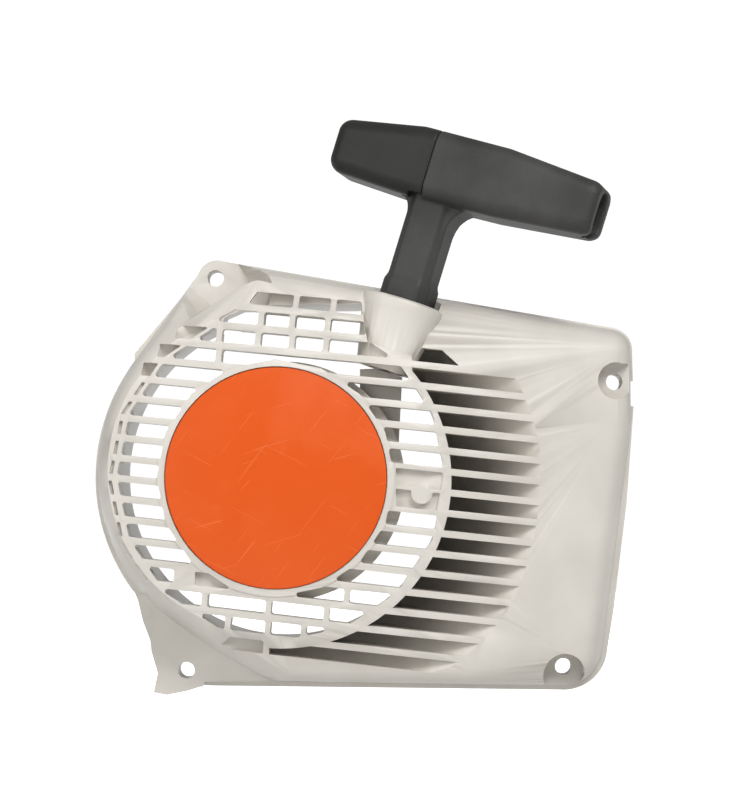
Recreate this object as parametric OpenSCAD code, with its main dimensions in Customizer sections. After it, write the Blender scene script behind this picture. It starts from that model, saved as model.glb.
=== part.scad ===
// Recoil starter for a chainsaw: fan housing with a barred air inlet, front disc,
// rope rotor with rewind spring and pawls, rope and a T-shaped pull handle.
// All lengths in mm. X right, Z up, the front faces -Y, Y = 0 is the face that is bolted down,
// and the crank axis is the line X = 0, Z = 0.

/* [View] */
// Which piece to draw
// Facets on the round faces
round_fn = 96; // [48:8:128]

/* [Housing] */
// Depth of the housing from the bolted face to the front of the bars
housing_d = 38; // [37.5:0.1:39]
// Radius of the fan opening
fan_r = 51; // [50.7:0.1:51.2]
// Height of the inside end of the bars
bar_back = 29.4; // [29.4:0.1:31.5]
// Width of one bar of the air inlet
bar_w = 2.1; // [1.7:0.1:2.5]
// Corner radius of the slots between the bars
slot_r = 0.8; // [0.5:0.1:1]
// Radius of the bolt holes
bolt_r = 2.65; // [2.55:0.05:3.2]

/* [Front disc] */
// Radius of the coloured disc
disc_r = 34.28; // [33.8:0.02:34.3]
// Thickness of the coloured disc
disc_t = 1.5; // [1.2:0.1:1.5]

/* [Rope and rotor] */
// Radius of the rope
rope_r = 1.5; // [1.4:0.02:1.5]
// Radius of the rotor flanges
rotor_r = 25.4; // [25:0.1:28]
// Radius of the steel post
post_r = 5; // [4.9:0.02:5]

/* [Handle] */
// Length of the right arm of the grip, from the rope
arm_right = 53; // [48:1:56]
// Length of the left arm of the grip, from the rope
arm_left = 36.2; // [34:0.2:39]
// Turn of the grip about the rope
grip_turn = 18; // [0:1:24]

/* [Hidden] */
$fn = round_fn;
eps = 0.01;

// The fan opening lies a little up and right of the crank axis.
fan_c = [1.6, 0.5];
// Outer edge of the ring that carries the bars.
ring_c = [1.8, -0.4];
ring_r = 52.4;
hub_r = 36.6;
disc_gap = 0.17;
disc_z = housing_d - disc_t;

// Bolt holes: upper left, lower right, lower left, right.
bolts = [[-20.8, 64.2], [90.9, -60.5], [-30.2, -61.5], [106.8, 30.9]];
ear_h = 9.5;
flange_t = 3;

// Middle of the dished scoop the fins stand in.
scoop_c = [19.7, -4.6];

// The rope leaves the rotor on its right and runs up, leaning 17 degrees to the right.
rope_lean = 17;
rope_z = 24.6;
wrap_r = [17.4, 19.75, 22.4];
rope_x = wrap_r[2];
last_turn = 329;
spring_room_r = 32.2;
side_floor = 12;
screw_c = [45, -4.7];
lip_t = 63.5;
cup_low_t = 48.4;
cup_push = 2.4;
cup_floor = 31.8;
pocket_floor = 30.3;
rotor_back = 20.2;
rotor_front = 29;
groove_back = 21.3;
groove_front = 27.9;
drum_in = 13.4;
pawl_x = 12;
peg_x = 19;

cream = [0.86, 0.84, 0.79];
black = [0.13, 0.13, 0.14];
steel = [0.62, 0.63, 0.66];

// Turns the flat drawing (x right, y up, z towards the front) into the frame of the part.
module stand() {
  rotate([90, 0, 0]) children();
}

// Moves children to the rope's line: their z axis runs up the rope from where it leaves the rotor.
module on_rope(t = 0) {
  rotate([0, 0, -rope_lean]) translate([rope_x, t, rope_z]) rotate([-90, 0, 0]) children();
}

module disc_at(p, r, z, h) {
  translate([p[0], p[1], z]) cylinder(r = r, h = h);
}

module ball_at(p, r, z) {
  translate([p[0], p[1], z]) sphere(r = r, $fn = 32);
}

// Height of bar k where it crosses x, from its two measured ends.
function bar_left(k) = 6.275 * k - 0.6;
function bar_right(k) = 6.43 * k - 9.68;
function bar_y(k, x) = bar_left(k) + (bar_right(k) - bar_left(k)) * (x + 43.3) / 84.7;

// The gap between bar k and the bar above it, from x0 to x1; its upper left corner is moved by lean.
module gap_2d(k, x0, x1, lean = 0, lo = bar_w / 2) {
  polygon([[x0, bar_y(k, x0) + lo], [x1, bar_y(k, x1) + lo],
    [x1, bar_y(k + 1, x1) - lo], [x0 + lean, bar_y(k + 1, x0 + lean) - lo]]);
}

// Small rounds in the corners of an outline.
module soft_corners(r) {
  offset(r = r, $fn = 16) offset(delta = -r) children();
}

// Short uprights: [lower bar, x] with the gap they stand in.
uprights = [[9, 6.2], [9, 17.7], [8, -4.5], [8, 5.1], [8, 16], [7, -17.4], [7, -5.5], [7, 5],
  [7, 15.5], [6, -17.6], [-5, 21.9], [-6, -22], [-6, -2.3], [-6, 15.6], [-7, -14.8], [-7, -2.5],
  [-7, 8.5], [-8, -3.2]];

module upright_2d(k, x) {
  translate([x, bar_y(k + 0.5, x)]) rotate(-6) square([1.7, 7.4], center = true);
}

module uprights_2d() {
  for (u = uprights) upright_2d(u[0], u[1]);
}

module fan_disc_2d(r) {
  translate(fan_c) circle(r = r);
}

// Fan opening: a circle with a flat-topped bay above it.
module fan_opening_2d() {
  fan_disc_2d(fan_r);
  polygon([[-26, 36], [-17.4, 51.6], [-12, 54], [28, 54.4], [36, 36]]);
}

module ring_disc_2d(r) {
  translate(ring_c) circle(r = r);
}

// Solid pads behind the bars: the screw boss on the right and the block at the lower left.
module pads_2d() {
  translate([33, bar_y(0, 33)]) rotate(-6) square([19, 12.7]);
  translate([-31.7, bar_y(-5, -31.7)]) rotate(-6) square([21, 6.3]);
}

// Open slots through the barred front, inside the outer ring.
module slots_2d() {
  soft_corners(slot_r) difference() {
    intersection() {
      union() {
        for (k = [-7:7]) gap_2d(k, -60, 60);
      }
      fan_disc_2d(fan_r - 0.3);
    }
    circle(r = hub_r);
    uprights_2d();
    pads_2d();
    cup_shadow_2d();
  }
}

// The two gaps above the ring; outside the fan opening they are blind.
module top_gaps_2d() {
  gap_2d(8, -19.3, 40, 6.6);
  gap_2d(9, -8.7, 40, 2.8);
}

// The outline of the rope cup seen from the front.
module cup_shadow_2d() {
  rotate(-rope_lean) translate([rope_x - 0.8, 0])
    polygon([[-6.8, cup_low_t], [8.6, cup_low_t], [10, 53], [11.6, 62], [12, 66], [-12.8, 66],
      [-12.4, 60], [-9.8, 54]]);
}

// Shallow pockets between the bars' ends, left of the outer ring and below it.
module pockets_2d() {
  soft_corners(0.3) difference() {
    union() {
      intersection() {
        union() {
          for (k = [-6:4]) gap_2d(k, -60, 8);
        }
        ring_disc_2d(ring_r + 1.1);
      }
    }
    ring_disc_2d(ring_r);
  }
}

// The three deeper pockets at the upper left.
module corner_pockets_2d() {
  soft_corners(0.3) difference() {
    union() {
      gap_2d(5, -41.6, -20, 0.6);
      gap_2d(6, -36.6, -20, 0.6);
      gap_2d(7, -31.2, -20, 0.8);
    }
    ring_disc_2d(ring_r);
  }
}

// Deep pockets between the bars, above the ring and at the bottom.
module deep_pockets_2d() {
  soft_corners(slot_r) difference() {
    union() {
      top_gaps_2d();
      gap_2d(-8, -18.4, -1, 4);
    }
    uprights_2d();
    cup_shadow_2d();
  }
}

// Where the deep pockets break through into the fan opening.
module top_slots_2d() {
  offset(delta = -0.15) intersection() {
    deep_pockets_2d();
    fan_opening_2d();
  }
}

// Shallow pockets in the pads, between the bars.
module pad_pockets_2d() {
  soft_corners(0.5) difference() {
    intersection() {
      union() {
        for (k = [0:1]) gap_2d(k, 37, 52, 0, 0.45);
        gap_2d(-5, -24.9, -8);
      }
      fan_disc_2d(fan_r - 0.9);
    }
    circle(r = hub_r);
    translate(screw_c) circle(r = 3.3);
  }
}

// The grooves between the fins, right of and below the outer ring.
module fin_gaps_2d() {
  difference() {
    union() {
      for (k = [-8:7]) gap_2d(k, -2.3, 110);
    }
    ring_disc_2d(ring_r);
    polygon([[49, 42], [58, 33.7], [72, 32.4], [120, 28], [120, 90], [49, 90]]);
    cup_shadow_2d();
    translate([-10, 0]) square([52, 80]);
  }
}

// The dished scoop the fins stand in.
module scoop(grow = 0) {
  translate([scoop_c[0], scoop_c[1], 8 - grow]) cylinder(r1 = 33 + grow, r2 = 33 + grow + 1.61 * 32, h = 32);
}

// Outline of the flange that lies on the engine.
module flange_2d() {
  fan_disc_2d(61.8);
  polygon([[-47.5, 40.5], [-27.1, 64.9], [-22.4, 70.4], [-19.7, 70.4], [107.2, 48.8], [113.4, 41.6],
    [113.9, 23], [111.6, -8], [107.5, -42], [105.5, -54.6], [91.3, -68.3], [-21.8, -67],
    [-25.7, -66.8], [-29.8, -68.1], [-36.4, -69.4], [-40.7, -68.6], [-39.4, -62.4],
    [-41.4, -55.6], [-41.8, -52], [-48.6, -34]]);
  translate(bolts[0]) circle(r = 6.4);
  translate([105.9, 41.4]) circle(r = 7.55);
  translate([91.3, -54.2]) circle(r = 14.15);
}

// Outer form of the body: drum on the left, sloping panel with soft shoulders on the right.
module body_form() {
  hull() {
    disc_at([1.4, 1.8], 61.1, 0, 2);
    disc_at([-1.6, 2.2], 52.9, 33.4, eps);
    disc_at([-2.2, 2], 49.6, housing_d - eps, eps);
    disc_at([1.4, 1.8], 50.6, 36.4, eps);
    disc_at([-20, 63.6], 6.2, 0, ear_h);
    intersection() {
      disc_at(scoop_c, 61.8, 26, eps);
      translate([-50, -61, 0]) cube([200, 200, 50]);
    }
    disc_at([105.7, 41.2], 6.8, 0, 6);
    disc_at([106.3, 20], 6.8, 0, 6);
    disc_at([91.1, -54], 12.5, 0, 6);
    disc_at([-2, -58.6], 7, 0, 2);
    ball_at([104.4, 39.8], 7, 11.5);
    ball_at([103.6, 18], 8, 12);
    ball_at([92.5, -55.2], 9.6, 9.8);
    ball_at([4, -56.6], 7, 24);
    ball_at([60, -58], 7, 19.5);
    ball_at([-6, 58.2], 6, 27);
    ball_at([24, 53.4], 6, 25.4);
    ball_at([50, 49.6], 6, 18.6);
  }
}

// Hollow under the sloping panel, open at the back.
module side_hollow() {
  difference() {
    hull() {
      disc_at([104.2, 39.8], 4.4, -1, 12);
      disc_at([103.4, 16], 5, -1, 15);
      disc_at([90, -52.4], 9, -1, 13);
      disc_at([62, 46], 4, -1, 17);
      disc_at([30, -58], 4.4, -1, 17);
      disc_at([58, 0], 4, -1, 22);
    }
    scoop(2.6);
    disc_at(fan_c, fan_r + 2.4, -2, 50);
    for (b = [1, 3]) disc_at(bolts[b], 6.6, -2, 50);
    for (y = [-34, 8]) translate([50, y, -2]) cube([70, 1.8, 40]);
  }
}

// Ring-shaped hollow between the fan wall and the outer wall, open at the back.
module drum_hollow() {
  difference() {
    translate([fan_c[0], fan_c[1], -1]) rotate_extrude()
      polygon([[52.6, 0], [58.6, 0], [55.6, 24], [52.6, 27]]);
    translate([-8, -80, -2]) cube([90, 60, 40]);
    translate([-32, 30, -2]) cube([120, 60, 40]);
    translate([18, -40, -2]) cube([60, 80, 40]);
    disc_at(bolts[2], 7, -2, 50);
  }
}

// Cup at the top that the rope comes out of, drawn up the rope.
module cup() {
  hull() {
    for (x = [-1.4, -0.2]) translate([x, -cup_push, 0]) rotate_extrude() polygon([[0, 42], [8, 42],
      [9, 47], [10.4, 54], [11.8, 60.5], [12.2, 62.8], [12, 63.9], [11.2, 64.5], [0, 64.5]]);
  }
}

module front_face() {
  difference() {
    union() {
      body_form();
      disc_at([0, 0], hub_r, 30, housing_d + 0.4 - 30);
    }
    translate([0, 0, -1]) linear_extrude(bar_back + 1) fan_opening_2d();
    side_hollow();
    intersection() {
      scoop();
      translate([0, 0, -1]) linear_extrude(50) fin_gaps_2d();
    }
    translate([0, 0, 10]) linear_extrude(40) slots_2d();
    translate([0, 0, 36.5]) linear_extrude(10) pockets_2d();
    translate([0, 0, 33.6]) linear_extrude(10) corner_pockets_2d();
    translate([0, 0, pocket_floor]) linear_extrude(10) deep_pockets_2d();
    translate([0, 0, 20]) linear_extrude(pocket_floor - 19.9) top_slots_2d();
    translate([0, 0, 35.6]) linear_extrude(10) pad_pockets_2d();
    translate([0, 0, cup_floor]) linear_extrude(20) cup_shadow_2d();
    drum_hollow();
  }
}

// Eccentric foot of the hub and the skirt round the spring.
module hub_skirt() {
  difference() {
    union() {
      disc_at([0, 0], 34.6, 18.5, 20);
      disc_at([2.6, -1], 37.2, 29.5, 3);
      translate([0, 0, 27.5]) linear_extrude(3) offset(delta = -0.3) pads_2d();
    }
    on_rope() translate([-4.2, -6, 8]) cube([8.4, 12, 40]);
  }
}

module fan_housing() {
  color(cream) stand() difference() {
    union() {
      difference() {
        union() {
          front_face();
          flange_plate();
          ear_plate();
        }
        translate([0, 0, -1]) linear_extrude(bar_back + 1) fan_opening_2d();
        drum_hollow();
        ear_bowl();
        disc_at(bolts[3], 5.9, side_floor, 30);
        translate([106.8, 30.9, side_floor]) cube([20, 5.6, 30]);
        translate([112.3, 23.4, -1]) cube([10, 8.2, 40]);
        corner_scallop();
        on_rope(lip_t) cylinder(r = 10.6, h = 30);
      }
      on_rope() cup();
      hub_skirt();
    }
    for (b = bolts) disc_at(b, bolt_r, -1, 60);
    disc_at([0, 0], spring_room_r, 10, 24.8);
    disc_at([0, 0], disc_r + disc_gap, disc_z - 0.1, 10);
    disc_at([0, 0], post_r, 30, 10);
    on_rope() translate([0, 0, 30]) cylinder(r = 3.4, h = 40);
    on_rope(49) cylinder(r = 5.5, h = 20);
    on_rope(58) translate([0, -0.5, 0]) cylinder(r = 9.8, h = 20);
    disc_at(screw_c, 1.25, 20, 13);
  }
}

// Thick ear at the lower left.
module ear_plate() {
  linear_extrude(ear_h) intersection() {
    flange_2d();
    polygon([[-46, -38], [-42, -36], [6, -60], [6, -65.2], [-24.5, -65.2], [-30, -80], [-60, -80],
      [-60, -60], [-42, -55]]);
  }
}

// Smooth bowl round the upper left bolt hole, open to the outside.
module ear_bowl() {
  hull() {
    disc_at([-18, 61.6], 7.6, ear_h, eps);
    disc_at([-30, 76], 10, ear_h, eps);
    disc_at([-16.6, 59.8], 12, 17, eps);
    disc_at([-15.8, 58.6], 14.4, 32, eps);
    disc_at([-32, 78], 16, 32, eps);
  }
}

// Arched cut over the lower right bolt hole, open at the bottom.
module corner_scallop() {
  disc_at([90.4, -62.2], 6.7, 6.5, 40);
  translate([84.6, -80, 6.5]) cube([11.6, 17.8, 40]);
}

module flange_plate() {
  difference() {
    linear_extrude(flange_t) flange_2d();
    translate([0, 0, -1]) linear_extrude(flange_t + 2) polygon([[56, 40], [66, 46], [101, 40],
      [103, 37], [101.5, 26], [104, 20], [104.6, 4], [98.5, -46], [84, -50], [80, -62], [30, -62],
      [46, -36], [58, -12], [58, 14]]);
  }
}

module front_disc() {
  color([0.91, 0.36, 0.14]) stand() translate([0, 0, disc_z]) rotate_extrude()
    polygon([[0, 0], [disc_r, 0], [disc_r, disc_t - 0.25], [disc_r - 0.25, disc_t], [0, disc_t]]);
}

module axle_post() {
  color(steel) stand() difference() {
    union() {
      disc_at([0, 0], post_r, 12.6, 23.7);
      disc_at([0, 0], 8.6, 33.9, 0.85);
    }
    translate([0, 0, 14.8]) difference() {
      cylinder(r = 8, h = 1.3);
      translate([0, 0, -1]) cylinder(r = 4.3, h = 4);
    }
  }
}

// Thin trough behind the bars that keeps the rope out of the fan.
module rope_guard() {
  color(cream) stand() difference() {
    union() {
      translate([0, 0, 18]) linear_extrude(11.2) polygon([[25.8, 22.4], [37.6, 5], [39, 31.5],
        [30.6, 34.2], [25.8, 34]]);
      translate([0, 0, 25.2]) linear_extrude(2.2) polygon([[34, -1], [39, -8.5], [49, -8.5],
        [49, 1.5], [39.8, 1.5], [37.9, 10], [35.8, 9]]);
    }
    on_rope() translate([-3.4, -2.9, -10]) cube([6.8, 20, 80]);
    translate([0, 0, 10]) cylinder(r = 35, h = 30);
    disc_at(screw_c, 1.7, 10, 30);
  }
}

module guard_screw() {
  color(steel) stand() translate([screw_c[0], screw_c[1], 0]) difference() {
    union() {
      translate([0, 0, 23.2]) cylinder(r = 3, h = 2);
      translate([0, 0, 25.2]) cylinder(r = 1.2, h = 7.2);
    }
    translate([0, 0, 22.5]) cylinder(r = 1.3, h = 1.7, $fn = 6);
  }
}

module rope_bush() {
  color([0.2, 0.2, 0.2]) stand() on_rope(49.05) rotate_extrude()
    polygon([[2.3, 0.6], [3, 0], [5.45, 0], [5.45, 5], [4.4, 5.6], [3.2, 5.2], [2.3, 4.4]]);
}

module spring_case() {
  color([0.25, 0.25, 0.27]) stand() difference() {
    disc_at([0, 0], 31.9, 29.9, 4.85);
    disc_at([0, 0], 30.6, 29, 5);
    disc_at([0, 0], 9.2, 20, 20);
  }
}

turns = 7;
strip_t = 0.6;
function coil_r(f) = 10 + 19.6 * pow(f, 0.75);
function coil_pt(i, n, o) = let (f = i / n, a = -360 * turns * f, r = coil_r(f) + o)
  [r * cos(a), r * sin(a)];

// Flat strip wound in a spiral: it pulls the rotor back.
module rewind_spring() {
  n = turns * 36;
  color([0.35, 0.37, 0.42]) stand() translate([0, 0, 30]) linear_extrude(3.8)
    polygon(concat([for (i = [0:n]) coil_pt(i, n, 0)], [for (i = [n:-1:0]) coil_pt(i, n, strip_t)]));
}

module spring_cover() {
  color(steel) stand() difference() {
    disc_at([0, 0], 31.9, 29.3, 0.55);
    disc_at([0, 0], 9.6, 28, 4);
    for (a = [45:90:315]) rotate(a) translate([20, 0, 28]) cylinder(r = 3, h = 4);
  }
}

module rope_rotor() {
  color([0.3, 0.3, 0.32]) stand() difference() {
    union() {
      rotate_extrude() polygon([[drum_in, rotor_back], [rotor_r - 0.4, rotor_back],
        [rotor_r, 20.6], [rotor_r - 0.3, 21], [15.25, groove_back], [15.25, groove_front],
        [rotor_r - 0.3, 28.2], [rotor_r, 28.6], [rotor_r - 0.4, rotor_front],
        [drum_in, rotor_front]]);
      disc_at([0, 0], drum_in + 0.5, rotor_back, 2.2);
      disc_at([0, 0], 8.2, 17.2, 4);
      disc_at([0, 0], 9, rotor_back, 13.4);
      for (a = [60, 120, 240, 300]) rotate(a) translate([8, -0.7, rotor_back]) cube([5.8, 1.4, 7]);
      for (a = [0, 180]) rotate(a) disc_at([pawl_x, 0], 3.1, rotor_back, 4.6);
    }
    disc_at([0, 0], 6.5, 10, 30);
    for (a = [0, 180]) rotate(a) disc_at([pawl_x, 0], 2.05, 10, 30);
    rotate(90) translate([11, 0, rope_z]) rotate([0, 90, 0]) cylinder(r = 1.7, h = 6);
  }
}

module rotor_bush() {
  color([0.72, 0.55, 0.3]) stand() difference() {
    disc_at([0, 0], 6.48, 17.2, 16.4);
    disc_at([0, 0], post_r + 0.05, 10, 30);
  }
}

// One pawl lies on the back of the rotor, its nose pointing the way the rotor turns.
module pawl() {
  difference() {
    union() {
      disc_at([pawl_x, 0], 3.4, 17, 3);
      translate([0, 0, 17]) linear_extrude(3) polygon([[8.6, 1.2], [10.4, 8], [14.6, 14.6],
        [18.2, 16.6], [19.4, 15.2], [17.8, 9], [20.6, 1.4], [20.6, -1.4], [18.8, -2.4],
        [12, -3.4]]);
      disc_at([pawl_x, 0], 2, 19, 5.2);
      disc_at([peg_x, 0], 1, 14.6, 3);
    }
    disc_at([pawl_x, 0], 0.8, 16.5, 1);
  }
}

module pawl_a() {
  color([0.5, 0.5, 0.5]) stand() pawl();
}

module pawl_b() {
  color([0.5, 0.5, 0.5]) stand() rotate(180) pawl();
}

// Sprung clip in the post's groove: it drags, and its forks swing the pawls out.
module pawl_clip() {
  color(steel) stand() translate([0, 0, 14.95]) linear_extrude(1) difference() {
    union() {
      circle(r = 6.6);
      for (a = [0, 180]) rotate(a) translate([5, -2.1]) square([16.4, 4.2]);
    }
    circle(r = 4.36);
    rotate(90) translate([0, -3.4]) square([9, 6.8]);
    for (a = [0, 180]) rotate(a) translate([17.2, -1.15]) square([8, 2.3]);
  }
}

module clip_washer() {
  color(steel) stand() difference() {
    disc_at([0, 0], 8.4, 16.2, 0.8);
    disc_at([0, 0], post_r + 0.1, 10, 30);
  }
}

// Wound rope: two layers of two turns and the last turn on top.
module rope_coil() {
  color([0.9, 0.9, 0.88]) stand() {
    for (r = [wrap_r[0], wrap_r[1]]) for (s = [-1, 1]) translate([0, 0, rope_z + s * 1.46])
      rotate_extrude() translate([r, 0]) circle(r = rope_r, $fn = 32);
    rotate(-rope_lean - last_turn - 0.2) translate([0, 0, rope_z]) rotate_extrude(angle = last_turn)
      translate([wrap_r[2], 0]) circle(r = rope_r - 0.05, $fn = 32);
  }
}

module rotor_knot() {
  color([0.9, 0.9, 0.88]) stand() rotate(90) translate([11.2, 0, rope_z]) {
    sphere(r = 1.95, $fn = 32);
    rotate([0, 90, 0]) cylinder(r = 1.5, h = 4.05);
  }
}

module rope_run() {
  color([0.9, 0.9, 0.88]) stand() on_rope() cylinder(r = rope_r, h = 95);
}

// Grip drawn up the rope: z along the rope, x along the grip to the right.
// Each row is [x, half depth, low z, high z, edge radius].
module grip_bar(x0, x1) {
  edge = 4.6;
  stations = [[-arm_left + edge, 5.6, 102.4, 110.8], [-8, 6.2, 100.8, 114.1],
    [20, 6.2, 101.1, 113.8], [arm_right - 4.6, 5, 102.9, 110.8]];
  intersection() {
    hull() {
      for (s = stations) for (y = [-s[1], s[1]]) for (z = [s[2], s[3]])
        translate([s[0], y, z]) sphere(r = edge, $fn = 24);
    }
    translate([x0, -20, 80]) cube([x1 - x0, 40, 50]);
  }
}

module chamfered_2d(a, b, c) {
  polygon([[-a, c - b], [c - a, -b], [a - c, -b], [a, c - b], [a, b - c], [a - c, b], [c - a, b],
    [-a, b - c]]);
}

// Hollow fillet under the grip, on the side the x axis points to.
module grip_fillet(x, z, r) {
  translate([x, 5.4, z]) rotate([90, 0, 0]) linear_extrude(10.8) difference() {
    translate([-2, 0]) square([r + 2, r + 4]);
    translate([r, 0]) circle(r = r);
  }
}

module rope_turn() {
  on_rope() rotate([0, 0, -grip_turn]) children();
}

module knot_room() {
  translate([0, 0, 93.8]) cylinder(r = 5.6, h = 14.4);
}

module handle_grip() {
  color(black) stand() rope_turn() difference() {
    union() {
      grip_bar(-2.5, arm_right - 1);
      translate([0, 0, 66]) linear_extrude(34) chamfered_2d(7.1, 7, 2.4);
      grip_fillet(7, 88.5, 9);
      mirror([1, 0, 0]) grip_fillet(7, 92, 5);
      hull() {
        translate([0, 0, 60.4]) linear_extrude(1) chamfered_2d(6.8, 6.8, 3);
        translate([0, 0, 63]) linear_extrude(7) chamfered_2d(7.9, 7.8, 3);
        translate([0, 0, 71]) linear_extrude(1) chamfered_2d(7.1, 7, 2.4);
      }
    }
    translate([0, 0, 50]) cylinder(r = 2.2, h = 50);
    knot_room();
    for (z = [103.2, 108.6]) translate([7.4, 0, z]) rotate([0, 90, 0]) cylinder(r = 4.6, h = 60);
    translate([7.4, -4.6, 103.2]) cube([60, 9.2, 5.4]);
    translate([-2.6, 0, 106]) rotate([0, 90, 0]) cylinder(r = 5.6, h = 6);
  }
}

module handle_cap() {
  color([0.16, 0.16, 0.17]) stand() rope_turn() difference() {
    union() {
      grip_bar(-60, -2.55);
      translate([-4, 0, 106]) rotate([0, 90, 0]) cylinder(r = 5.5, h = 3.2);
    }
    translate([-7.15, -9, 80]) cube([20, 18, 20]);
    mirror([1, 0, 0]) translate([0, 0, -0.05]) grip_fillet(7, 92, 5.05);
    translate([-20, 0, 106]) rotate([0, 90, 0]) cylinder(r = 4.2, h = 40);
    knot_room();
  }
}

module knot_washer() {
  color(steel) stand() rope_turn() difference() {
    translate([0, 0, 93.85]) cylinder(r = 5.2, h = 1);
    translate([0, 0, 90]) cylinder(r = 1.9, h = 10);
  }
}

module grip_knot() {
  color([0.9, 0.9, 0.88]) stand() rope_turn() {
    translate([0, 0, 95.1]) cylinder(r = rope_r, h = 2);
    translate([0, 0, 99]) sphere(r = 4, $fn = 32);
  }
}

fan_housing();
front_disc();
axle_post();
rope_guard();
guard_screw();
rope_bush();
spring_case();
rewind_spring();
spring_cover();
rope_rotor();
rotor_bush();
pawl_a();
pawl_b();
pawl_clip();
clip_washer();
rope_coil();
rotor_knot();
rope_run();
handle_grip();
handle_cap();
knot_washer();
grip_knot();
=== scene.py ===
import math

import bpy
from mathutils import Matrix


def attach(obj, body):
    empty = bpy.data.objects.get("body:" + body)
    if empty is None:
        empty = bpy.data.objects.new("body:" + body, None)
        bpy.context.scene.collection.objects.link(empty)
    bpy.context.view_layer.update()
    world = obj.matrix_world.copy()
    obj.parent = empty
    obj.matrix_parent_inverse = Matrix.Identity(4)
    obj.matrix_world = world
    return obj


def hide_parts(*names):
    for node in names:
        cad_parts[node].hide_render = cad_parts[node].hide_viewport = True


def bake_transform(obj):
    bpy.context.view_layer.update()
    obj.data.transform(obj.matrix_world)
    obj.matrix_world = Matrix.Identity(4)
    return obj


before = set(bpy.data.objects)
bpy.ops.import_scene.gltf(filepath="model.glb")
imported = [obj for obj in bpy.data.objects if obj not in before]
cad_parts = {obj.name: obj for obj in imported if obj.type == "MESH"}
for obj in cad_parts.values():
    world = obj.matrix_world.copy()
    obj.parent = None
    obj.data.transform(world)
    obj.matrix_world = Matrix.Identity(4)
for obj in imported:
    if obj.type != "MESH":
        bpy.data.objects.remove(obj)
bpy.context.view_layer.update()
MM = 0.001

# ---------------------------------------------------------------- camera, light and floor
# The starter is seen square on from the front, from 0.7 m, with the lens a little right of and
# below its middle. Soft lights stand above and in front; behind it is a bright white sweep.
EYE = (38.3 * MM, -738 * MM, -3.7 * MM)
camera_data = bpy.data.cameras.new("camera")
camera_data.sensor_fit = "HORIZONTAL"
camera_data.sensor_width = 36
camera_data.lens = 109.9
camera_data.shift_x = -0.0376
camera_data.shift_y = 0.121
camera_data.clip_start = 0.01
camera_data.clip_end = 30
camera = bpy.data.objects.new("camera", camera_data)
camera.location = EYE
camera.rotation_euler = (math.radians(90), 0, 0)
bpy.context.scene.collection.objects.link(camera)
bpy.context.scene.camera = camera
bpy.context.scene.view_settings.view_transform = "Standard"
bpy.context.scene.view_settings.look = "None"


def area_light(name, place, aim, size, power):
    data = bpy.data.lights.new(name, "AREA")
    data.shape = "RECTANGLE"
    data.size, data.size_y = size
    data.energy = power
    light = bpy.data.objects.new(name, data)
    light.location = place
    way = [a - p for a, p in zip(aim, place)]
    flat = math.hypot(way[0], way[1])
    light.rotation_euler = (math.pi / 2 + math.atan2(way[2], flat), 0, math.atan2(-way[0], way[1]))
    bpy.context.scene.collection.objects.link(light)


area_light("key", (0.35, -0.95, 0.75), (0.03, 0, 0), (0.5, 0.5), 11.0)
area_light("fill", (-0.8, -0.9, 0.35), (0.02, 0, 0), (0.6, 0.6), 5.0)

# The room is dim all round, and white in the narrow part behind the starter.
world = bpy.data.worlds.new("studio")
bpy.context.scene.world = world
world.use_nodes = True
room, room_links = world.node_tree.nodes, world.node_tree.links
where = room.new("ShaderNodeTexCoord")
ahead = room.new("ShaderNodeVectorMath")
ahead.operation = "DOT_PRODUCT"
ahead.inputs[1].default_value = (0, 1, 0)
glow = room.new("ShaderNodeMapRange")
glow.inputs["From Min"].default_value = 0.92
glow.inputs["From Max"].default_value = 0.955
glow.inputs["To Min"].default_value = 0.45
glow.inputs["To Max"].default_value = 1.04
room_links.new(where.outputs["Generated"], ahead.inputs[0])
room_links.new(ahead.outputs["Value"], glow.inputs["Value"])
room_links.new(glow.outputs["Result"], room["Background"].inputs["Strength"])
room["Background"].inputs["Color"].default_value = (1, 1, 1, 1)

bpy.ops.object.select_all(action="DESELECT")
bpy.ops.mesh.primitive_plane_add(size=10, location=(0, 0, -0.26))
floor = bpy.context.object
floor.name = "floor"
floor_paint = bpy.data.materials.new("floor_paint")
floor_paint.use_nodes = True
paint, paint_links = floor_paint.node_tree.nodes, floor_paint.node_tree.links
paint["Principled BSDF"].inputs["Base Color"].default_value = (0.9, 0.9, 0.9, 1)
paint["Principled BSDF"].inputs["Roughness"].default_value = 0.9
paint["Principled BSDF"].inputs["Emission Color"].default_value = (1, 1, 1, 1)
spot = paint.new("ShaderNodeTexCoord")
split = paint.new("ShaderNodeSeparateXYZ")
sweep = paint.new("ShaderNodeMapRange")
sweep.inputs["From Min"].default_value = 0.5
sweep.inputs["From Max"].default_value = 1.0
sweep.inputs["To Max"].default_value = 1.0
paint_links.new(spot.outputs["Object"], split.inputs["Vector"])
paint_links.new(split.outputs["Y"], sweep.inputs["Value"])
paint_links.new(sweep.outputs["Result"], paint["Principled BSDF"].inputs["Emission Strength"])
floor.data.materials.append(floor_paint)

# ---------------------------------------------------------------- fan housing
# One injection moulding in off-white glass-filled nylon: fan ring with bars, fins, rope cup and
# four lugs. Every edge has the small round of a mould, and the skin is very slightly mottled.
HOUSING_EDGE = 0.35 * MM
SMOOTH = math.radians(32)


def only(obj):
    bpy.ops.object.select_all(action="DESELECT")
    obj.select_set(True)
    bpy.context.view_layer.objects.active = obj


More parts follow.
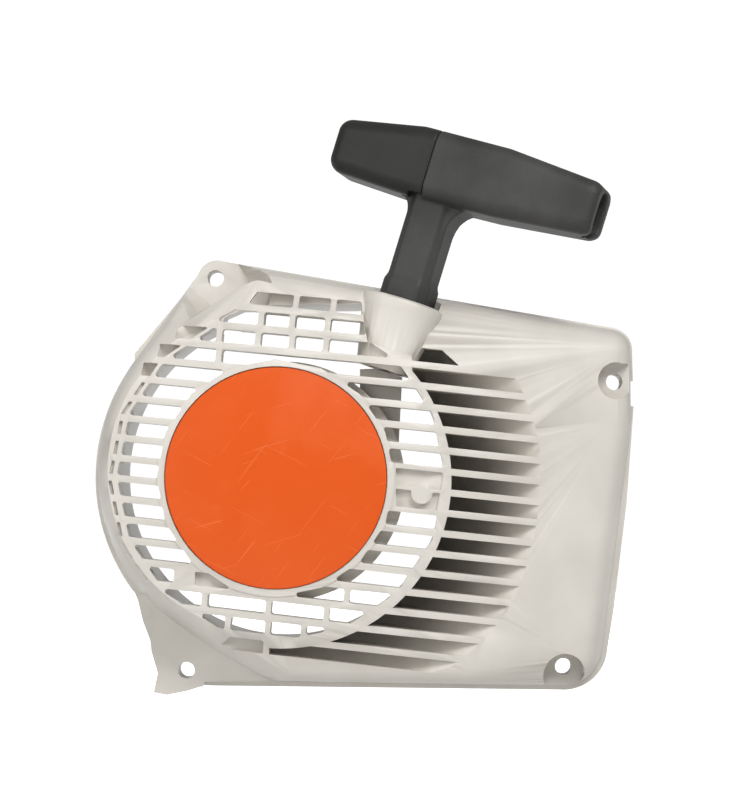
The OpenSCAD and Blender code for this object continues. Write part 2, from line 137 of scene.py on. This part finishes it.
def clean_copy(node, name):
    """A free copy of a CAD node's mesh with welded corners and its flat faces made whole."""
    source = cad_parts[node]
    obj = bpy.data.objects.new(name, source.data.copy())
    bpy.context.scene.collection.objects.link(obj)
    obj.data.materials.clear()
    only(obj)
    bpy.ops.object.mode_set(mode="EDIT")
    bpy.ops.mesh.select_all(action="SELECT")
    bpy.ops.mesh.remove_doubles(threshold=2e-6)
    bpy.ops.mesh.normals_make_consistent(inside=False)
    bpy.ops.mesh.dissolve_limited(angle_limit=math.radians(0.4))
    bpy.ops.object.mode_set(mode="OBJECT")
    return obj


def use_modifier(obj, kind, **settings):
    only(obj)
    modifier = obj.modifiers.new(kind.lower(), kind)
    for key, value in settings.items():
        setattr(modifier, key, value)
    bpy.ops.object.modifier_apply(modifier=modifier.name)


def round_edges(obj, width, angle=30, segments=2):
    use_modifier(obj, "BEVEL", width=width, segments=segments, limit_method="ANGLE",
                 angle_limit=math.radians(angle), use_clamp_overlap=True)
    bpy.ops.object.shade_smooth_by_angle(angle=SMOOTH)


def finish_piece(obj, material, body, nodes):
    obj.data.materials.clear()
    obj.data.materials.append(material)
    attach(obj, body)
    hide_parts(*nodes)


def grain_group():
    """Fine skin of a moulded plastic: a soft mottle value and a grain height."""
    group = bpy.data.node_groups.new("grain", "ShaderNodeTree")
    face = group.interface
    face.new_socket("Vector", in_out="INPUT", socket_type="NodeSocketVector")
    scale_in = face.new_socket("Grain Scale", in_out="INPUT", socket_type="NodeSocketFloat")
    scale_in.default_value = 2500
    face.new_socket("Mottle", in_out="OUTPUT", socket_type="NodeSocketFloat")
    face.new_socket("Height", in_out="OUTPUT", socket_type="NodeSocketFloat")
    nodes, links = group.nodes, group.links
    entry, leave = nodes.new("NodeGroupInput"), nodes.new("NodeGroupOutput")
    broad = nodes.new("ShaderNodeTexNoise")
    broad.inputs["Scale"].default_value = 45
    broad.inputs["Detail"].default_value = 5
    fine = nodes.new("ShaderNodeTexNoise")
    fine.inputs["Detail"].default_value = 3
    spots = nodes.new("ShaderNodeTexVoronoi")
    spots.feature = "SMOOTH_F1"
    mix = nodes.new("ShaderNodeMath")
    mix.operation = "MULTIPLY_ADD"
    mix.inputs[1].default_value = 0.5
    links.new(entry.outputs["Vector"], broad.inputs["Vector"])
    links.new(entry.outputs["Vector"], fine.inputs["Vector"])
    links.new(entry.outputs["Vector"], spots.inputs["Vector"])
    links.new(entry.outputs["Grain Scale"], fine.inputs["Scale"])
    links.new(entry.outputs["Grain Scale"], spots.inputs["Scale"])
    links.new(spots.outputs["Distance"], mix.inputs[0])
    links.new(fine.outputs["Fac"], mix.inputs[2])
    links.new(broad.outputs["Fac"], leave.inputs["Mottle"])
    links.new(mix.outputs[0], leave.inputs["Height"])
    return group


GRAIN = grain_group()


def plastic(name, dark, light, rough, grain_scale=2500, grain_depth=0.05, gloss=0.5):
    """Moulded plastic: two close tones mixed by the mottle, and a fine grain in the bump."""
    material = bpy.data.materials.new(name)
    material.use_nodes = True
    nodes, links = material.node_tree.nodes, material.node_tree.links
    shader = nodes["Principled BSDF"]
    where = nodes.new("ShaderNodeTexCoord")
    grain = nodes.new("ShaderNodeGroup")
    grain.node_tree = GRAIN
    grain.inputs["Grain Scale"].default_value = grain_scale
    tone = nodes.new("ShaderNodeMapRange")
    tone.inputs["From Min"].default_value = 0.35
    tone.inputs["From Max"].default_value = 0.65
    mix = nodes.new("ShaderNodeMix")
    mix.data_type = "RGBA"
    mix.inputs["A"].default_value = (*dark, 1)
    mix.inputs["B"].default_value = (*light, 1)
    bump = nodes.new("ShaderNodeBump")
    bump.inputs["Strength"].default_value = 0.6
    bump.inputs["Distance"].default_value = grain_depth * MM
    links.new(where.outputs["Object"], grain.inputs["Vector"])
    links.new(grain.outputs["Mottle"], tone.inputs["Value"])
    links.new(tone.outputs["Result"], mix.inputs["Factor"])
    links.new(mix.outputs["Result"], shader.inputs["Base Color"])
    links.new(grain.outputs["Height"], bump.inputs["Height"])
    links.new(bump.outputs["Normal"], shader.inputs["Normal"])
    shader.inputs["Roughness"].default_value = rough
    shader.inputs["Specular IOR Level"].default_value = gloss
    return material


CREAM = plastic("cream_nylon", (0.500, 0.472, 0.424), (0.550, 0.522, 0.476), 0.45, 2200, 0.02)
housing = clean_copy("fan_housing", "housing_moulding")
round_edges(housing, HOUSING_EDGE, angle=40)
finish_piece(housing, CREAM, "housing", ["fan_housing"])

guard = clean_copy("rope_guard", "rope_trough")
round_edges(guard, 0.3 * MM)
finish_piece(guard, CREAM, "housing", ["rope_guard"])

# ---------------------------------------------------------------- front disc
# Orange disc pressed into the hub, 68.6 mm across, in smooth plastic under a thin clear film that
# has hairline scratches and faint smears.
DISC_R = 34.28 * MM


def scratch_group():
    """Hairline scratches in a few directions, and soft smears, as two masks."""
    group = bpy.data.node_groups.new("scratches", "ShaderNodeTree")
    group.interface.new_socket("Vector", in_out="INPUT", socket_type="NodeSocketVector")
    group.interface.new_socket("Lines", in_out="OUTPUT", socket_type="NodeSocketFloat")
    group.interface.new_socket("Smears", in_out="OUTPUT", socket_type="NodeSocketFloat")
    nodes, links = group.nodes, group.links
    entry, leave = nodes.new("NodeGroupInput"), nodes.new("NodeGroupOutput")
    total = None
    for turn, squeeze, cut in ((38, 70, 0.74), (118, 80, 0.75), (74, 60, 0.75)):
        place = nodes.new("ShaderNodeMapping")
        place.inputs["Rotation"].default_value = (0, math.radians(turn), 0)
        place.vector_type = "TEXTURE"
        place.inputs["Scale"].default_value = (0.026 / squeeze, 0.025, 0.026)
        noise = nodes.new("ShaderNodeTexNoise")
        noise.inputs["Scale"].default_value = 1.0
        noise.inputs["Detail"].default_value = 1.0
        gate = nodes.new("ShaderNodeMapRange")
        gate.inputs["From Min"].default_value = cut
        gate.inputs["From Max"].default_value = cut + 0.03
        links.new(entry.outputs["Vector"], place.inputs["Vector"])
        links.new(place.outputs["Vector"], noise.inputs["Vector"])
        links.new(noise.outputs["Fac"], gate.inputs["Value"])
        if total is None:
            total = gate.outputs["Result"]
        else:
            both = nodes.new("ShaderNodeMath")
            both.operation = "MAXIMUM"
            links.new(total, both.inputs[0])
            links.new(gate.outputs["Result"], both.inputs[1])
            total = both.outputs[0]
    smear = nodes.new("ShaderNodeTexNoise")
    smear.inputs["Scale"].default_value = 38
    smear.inputs["Detail"].default_value = 6
    smear.inputs["Distortion"].default_value = 0.8
    soft = nodes.new("ShaderNodeMapRange")
    soft.inputs["From Min"].default_value = 0.45
    soft.inputs["From Max"].default_value = 0.75
    links.new(entry.outputs["Vector"], smear.inputs["Vector"])
    links.new(smear.outputs["Fac"], soft.inputs["Value"])
    links.new(total, leave.inputs["Lines"])
    links.new(soft.outputs["Result"], leave.inputs["Smears"])
    return group


def orange_film():
    material = bpy.data.materials.new("orange_film")
    material.use_nodes = True
    nodes, links = material.node_tree.nodes, material.node_tree.links
    shader = nodes["Principled BSDF"]
    shader.inputs["Specular IOR Level"].default_value = 0.35
    where = nodes.new("ShaderNodeTexCoord")
    marks = nodes.new("ShaderNodeGroup")
    marks.node_tree = scratch_group()
    base = nodes.new("ShaderNodeMix")
    base.data_type = "RGBA"
    base.inputs["A"].default_value = (0.59, 0.073, 0.001, 1)
    base.inputs["B"].default_value = (0.61, 0.080, 0.002, 1)
    pale = nodes.new("ShaderNodeMix")
    pale.data_type = "RGBA"
    pale.inputs["B"].default_value = (0.70, 0.16, 0.05, 1)
    rough = nodes.new("ShaderNodeMapRange")
    rough.inputs["To Min"].default_value = 0.32
    rough.inputs["To Max"].default_value = 0.5
    links.new(where.outputs["Object"], marks.inputs["Vector"])
    links.new(marks.outputs["Smears"], base.inputs["Factor"])
    links.new(base.outputs["Result"], pale.inputs["A"])
    links.new(marks.outputs["Lines"], pale.inputs["Factor"])
    links.new(pale.outputs["Result"], shader.inputs["Base Color"])
    links.new(marks.outputs["Smears"], rough.inputs["Value"])
    links.new(rough.outputs["Result"], shader.inputs["Roughness"])
    return material


disc = clean_copy("front_disc", "orange_disc")
round_edges(disc, 0.15 * MM)
finish_piece(disc, orange_film(), "housing", ["front_disc"])

# ---------------------------------------------------------------- pull handle
# T-shaped grip moulded in black glass-filled nylon: the right arm and neck are one sandy-grained
# shell, open at its end, and the smoother left arm is plugged on at a seam over the neck.
HANDLE_VOXEL = 0.42 * MM


def soft_moulding(node, name, voxel, passes):
    """A copy of a CAD node with every edge and inside corner softened as in a mould."""
    obj = clean_copy(node, name)
    use_modifier(obj, "REMESH", mode="VOXEL", voxel_size=voxel, adaptivity=0.0)
    use_modifier(obj, "SMOOTH", factor=0.5, iterations=passes)
    only(obj)
    bpy.ops.object.shade_smooth()
    return obj


GRIP = plastic("grained_black", (0.020, 0.020, 0.018), (0.040, 0.040, 0.037), 0.55, 1500, 0.12, 0.35)
CAP = plastic("smooth_black", (0.009, 0.009, 0.008), (0.015, 0.015, 0.0135), 0.5, 2600, 0.03, 0.3)
grip = soft_moulding("handle_grip", "grip_shell", HANDLE_VOXEL, 4)
finish_piece(grip, GRIP, "handle", ["handle_grip"])
cap = soft_moulding("handle_cap", "grip_cap", HANDLE_VOXEL, 3)
finish_piece(cap, CAP, "handle", ["handle_cap"])

# ---------------------------------------------------------------- steel pieces
# Turned post, pressed washers, screw, cover plate and pawls, bright zinc plated or plain steel.


def metal(name, colour, rough):
    material = bpy.data.materials.new(name)
    material.use_nodes = True
    nodes, links = material.node_tree.nodes, material.node_tree.links
    shader = nodes["Principled BSDF"]
    where = nodes.new("ShaderNodeTexCoord")
    noise = nodes.new("ShaderNodeTexNoise")
    noise.inputs["Scale"].default_value = 600
    noise.inputs["Detail"].default_value = 4
    spread = nodes.new("ShaderNodeMapRange")
    spread.inputs["To Min"].default_value = rough - 0.08
    spread.inputs["To Max"].default_value = rough + 0.12
    links.new(where.outputs["Object"], noise.inputs["Vector"])
    links.new(noise.outputs["Fac"], spread.inputs["Value"])
    links.new(spread.outputs["Result"], shader.inputs["Roughness"])
    shader.inputs["Base Color"].default_value = (*colour, 1)
    shader.inputs["Metallic"].default_value = 1
    return material


STEEL = metal("bright_steel", (0.56, 0.56, 0.57), 0.32)
BLUE_STEEL = metal("spring_steel", (0.22, 0.23, 0.27), 0.3)
for node, name, body in (
    ("axle_post", "steel_post", "housing"),
    ("guard_screw", "trough_screw", "housing"),
    ("spring_cover", "spring_plate", "housing"),
    ("clip_washer", "thrust_washer", "rotor"),
    ("pawl_a", "pawl_right", "pawl_1"),
    ("pawl_b", "pawl_left", "pawl_2"),
    ("knot_washer", "knot_ring", "handle"),
):
    piece = clean_copy(node, name)
    round_edges(piece, 0.12 * MM)
    finish_piece(piece, STEEL, body, [node])
for node, name, body in (("rewind_spring", "spiral_spring", "housing"),
                         ("pawl_clip", "drag_clip", "clip")):
    piece = clean_copy(node, name)
    round_edges(piece, 0.08 * MM, segments=1)
    finish_piece(piece, BLUE_STEEL, body, [node])

# ---------------------------------------------------------------- bearing sleeve
# Sintered bronze sleeve pressed into the rotor's hub.
BRONZE = metal("sintered_bronze", (0.50, 0.33, 0.15), 0.42)
sleeve = clean_copy("rotor_bush", "bronze_sleeve")
round_edges(sleeve, 0.2 * MM)
finish_piece(sleeve, BRONZE, "rotor", ["rotor_bush"])

# ---------------------------------------------------------------- rotor, spring case and eyelet
# Black nylon mouldings: the rope rotor with its ribs, the spring's round case and the eyelet.
BLACK = plastic("black_nylon", (0.022, 0.022, 0.023), (0.035, 0.035, 0.036), 0.45, 2400, 0.03)
for node, name, body, slot in (
    ("rope_rotor", "rotor_moulding", "rotor", "dark_plastic"),
    ("spring_case", "spring_cup", "housing", "dark_plastic"),
    ("rope_bush", "rope_eyelet", "housing", "bush_plastic"),
):
    piece = clean_copy(node, name)
    round_edges(piece, 0.2 * MM)
    finish_piece(piece, BLACK, body, [node])

# ---------------------------------------------------------------- starter rope
# Braided 3 mm polyester rope, off-white: wound on the rotor, run up to the grip, knotted at both
# ends. The run is one straight tube of short rings.
LEAN = math.radians(17)
ROPE_START = (22.4 * MM * math.cos(LEAN), -24.6 * MM, -22.4 * MM * math.sin(LEAN))
ROPE_R = 1.5 * MM
RUN = 95 * MM


def braid():
    material = bpy.data.materials.new("braided_rope")
    material.use_nodes = True
    nodes, links = material.node_tree.nodes, material.node_tree.links
    shader = nodes["Principled BSDF"]
    where = nodes.new("ShaderNodeTexCoord")
    heights = []
    for turn in (35, -35):
        place = nodes.new("ShaderNodeMapping")
        place.inputs["Rotation"].default_value = (0, math.radians(turn), 0)
        wave = nodes.new("ShaderNodeTexWave")
        wave.bands_direction = "Z"
        wave.inputs["Scale"].default_value = 300
        wave.inputs["Distortion"].default_value = 0.3
        links.new(where.outputs["Object"], place.inputs["Vector"])
        links.new(place.outputs["Vector"], wave.inputs["Vector"])
        heights.append(wave.outputs["Fac"])
    both = nodes.new("ShaderNodeMath")
    both.operation = "MULTIPLY"
    links.new(heights[0], both.inputs[0])
    links.new(heights[1], both.inputs[1])
    # The off-white is darkened where the bump is low, in the grooves between strands: painted shade
    # in the braid's creases.
    tone = nodes.new("ShaderNodeMix")
    tone.data_type = "RGBA"
    tone.inputs["A"].default_value = (0.42, 0.41, 0.38, 1)
    tone.inputs["B"].default_value = (0.72, 0.71, 0.67, 1)
    bump = nodes.new("ShaderNodeBump")
    bump.inputs["Distance"].default_value = 0.25 * MM
    links.new(both.outputs[0], tone.inputs["Factor"])
    links.new(tone.outputs["Result"], shader.inputs["Base Color"])
    links.new(both.outputs[0], bump.inputs["Height"])
    links.new(bump.outputs["Normal"], shader.inputs["Normal"])
    shader.inputs["Roughness"].default_value = 0.8
    return material


ROPE = braid()
RINGS = 60
bpy.ops.object.select_all(action="DESELECT")
bpy.ops.mesh.primitive_cylinder_add(vertices=20, radius=ROPE_R, depth=RUN / RINGS,
                                    end_fill_type="NOTHING", location=(0, 0, RUN / RINGS / 2))
rope = bpy.context.object
rope.name = "rope_stretch"
bpy.ops.object.transform_apply(location=True, rotation=True, scale=True)
use_modifier(rope, "ARRAY", count=RINGS, use_relative_offset=False, use_constant_offset=True,
             constant_offset_displace=(0, 0, RUN / RINGS), use_merge_vertices=True,
             merge_threshold=1e-5)
rope.rotation_euler = (0, LEAN, 0)
rope.location = ROPE_START
only(rope)
bpy.ops.object.transform_apply(location=True, rotation=True, scale=True)
bpy.ops.object.mode_set(mode="EDIT")
bpy.ops.mesh.select_all(action="DESELECT")
bpy.ops.mesh.select_non_manifold()
bpy.ops.mesh.edge_face_add()
bpy.ops.mesh.select_all(action="SELECT")
bpy.ops.mesh.normals_make_consistent(inside=False)
bpy.ops.object.mode_set(mode="OBJECT")
bpy.ops.object.shade_smooth_by_angle(angle=SMOOTH)
rope.data.materials.append(ROPE)
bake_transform(rope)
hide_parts("rope_run")

for node, name, body in (("rope_coil", "rope_turns", "rotor"), ("rotor_knot", "inner_knot", "rotor"),
                         ("grip_knot", "outer_knot", "handle")):
    piece = clean_copy(node, name)
    only(piece)
    bpy.ops.object.shade_smooth_by_angle(angle=SMOOTH)
    finish_piece(piece, ROPE, body, [node])
